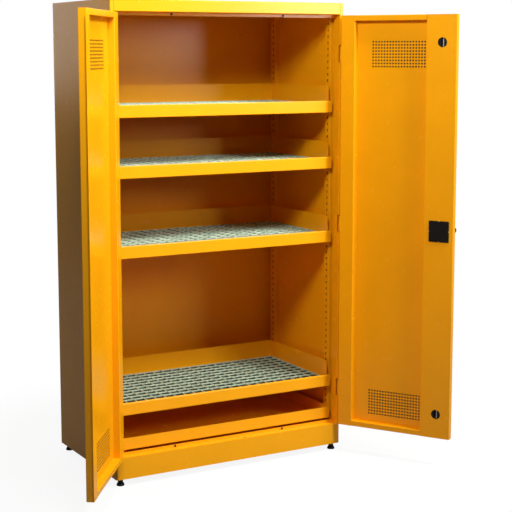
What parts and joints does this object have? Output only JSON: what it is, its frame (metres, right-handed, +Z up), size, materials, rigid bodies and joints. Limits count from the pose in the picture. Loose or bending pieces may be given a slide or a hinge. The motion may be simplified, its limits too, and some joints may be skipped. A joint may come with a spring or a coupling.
{
  "type": "hazardous materials safety cabinet",
  "caption": "Tall yellow sheet-steel safety cabinet with two vented hinged doors, sump shelves with gratings, a two-point lock and a pull-out spill tray on levelling feet.",
  "frame": {"origin": "on the floor at the centre of the four levelling feet, under the middle of the cabinet", "axes": "+Z up, +Y towards the back, -Y out of the doors, +X to the right seen from the front"},
  "size_m": [1.565, 0.9982, 1.82],
  "materials": {
    "yellow_paint": "fine-textured yellow powder coat",
    "galvanised_steel": "galvanised, slightly mottled",
    "zinc_steel": "zinc plated",
    "black_plastic": "matt black moulding",
    "black_metal": "black powder coat on a die casting",
    "black_rubber": "matt black rubber"
  },
  "bodies": {
    "carcass": {"left_side_panel": "yellow_paint", "right_side_panel": "yellow_paint", "back_panel": "yellow_paint", "roof_panel": "yellow_paint", "top_header": "yellow_paint", "plinth": "yellow_paint", "floor_panel": "yellow_paint", "rod_strikes": "zinc_steel", "door_buffers": "black_rubber", "foot_pads": "black_plastic", "foot_studs": "zinc_steel", "foot_brackets": "zinc_steel", "foot_nuts": "zinc_steel", "left_front_upright": "yellow_paint", "left_rear_upright": "yellow_paint", "right_front_upright": "yellow_paint", "right_rear_upright": "yellow_paint", "shelf_tray_1": "yellow_paint", "shelf_tray_2": "yellow_paint", "shelf_tray_3": "yellow_paint", "shelf_tray_4": "yellow_paint", "grating_1": "galvanised_steel", "grating_2": "galvanised_steel", "grating_3": "galvanised_steel", "grating_4": "galvanised_steel", "shelf_clips_1": "zinc_steel", "shelf_clips_2": "zinc_steel", "shelf_clips_3": "zinc_steel", "shelf_clips_4": "zinc_steel", "left_tray_runner": "yellow_paint", "right_tray_runner": "yellow_paint", "left_hinge_frame_leaves": "yellow_paint", "right_hinge_frame_leaves": "yellow_paint", "left_hinge_pins": "zinc_steel", "right_hinge_pins": "zinc_steel"},
    "left_door": {"left_door_skin": "yellow_paint", "left_hinge_stile": "yellow_paint", "left_meeting_stile": "yellow_paint", "left_top_rail": "yellow_paint", "left_bottom_rail": "yellow_paint", "left_hinge_door_leaves": "yellow_paint", "left_stop_strip": "yellow_paint"},
    "right_door": {"right_door_skin": "yellow_paint", "right_hinge_stile": "yellow_paint", "right_lock_stile": "yellow_paint", "right_top_rail": "yellow_paint", "right_bottom_rail": "yellow_paint", "right_hinge_door_leaves": "yellow_paint", "lock_cover": "black_plastic", "rod_guides": "black_plastic", "lock_case": "zinc_steel", "handle_rose": "black_metal"},
    "handle": {"handle_hub": "black_metal", "handle_grip": "black_metal", "lock_spindle": "zinc_steel", "lock_cam": "zinc_steel"},
    "lock_cylinder": {"lock_cylinder": "zinc_steel"},
    "upper_rod": {"upper_rod": "zinc_steel"},
    "lower_rod": {"lower_rod": "zinc_steel"},
    "spill_tray": {"spill_tray": "yellow_paint"}
  },
  "joints": [
    {"name": "left_door_hinge", "type": "hinge", "parent": "carcass", "child": "left_door", "pos_m": [-0.493, -0.283, 0], "axis": [0, 0, -1], "range_deg": [-126, 4]},
    {"name": "right_door_hinge", "type": "hinge", "parent": "carcass", "child": "right_door", "pos_m": [0.493, -0.283, 0], "axis": [0, 0, 1], "range_deg": [-122, 8]},
    {"name": "tray_slide", "type": "slide", "parent": "carcass", "child": "spill_tray", "axis": [0, -1, 0], "range_m": [0, 0.182]},
    {"name": "handle_turn", "type": "hinge", "parent": "right_door", "child": "handle", "pos_m": [0.72298, -0.65105, 0.94], "axis": [-0.848, -0.5299, 0], "range_deg": [-90, 0]},
    {"name": "key_turn", "type": "hinge", "parent": "handle", "child": "lock_cylinder", "pos_m": [0.72298, -0.65105, 0.94], "axis": [-0.848, -0.5299, 0], "range_deg": [-90, 0]},
    {"name": "upper_rod_slide", "type": "slide", "parent": "right_door", "child": "upper_rod", "axis": [0, 0, 1], "range_m": [0, 0.017]},
    {"name": "lower_rod_slide", "type": "slide", "parent": "right_door", "child": "lower_rod", "axis": [0, 0, -1], "range_m": [0, 0.017]}
  ],
  "couplings": [
    {"joint": "upper_rod_slide", "follows": "handle_turn", "m_per_rad": -0.010803},
    {"joint": "lower_rod_slide", "follows": "handle_turn", "m_per_rad": -0.010803}
  ]
}
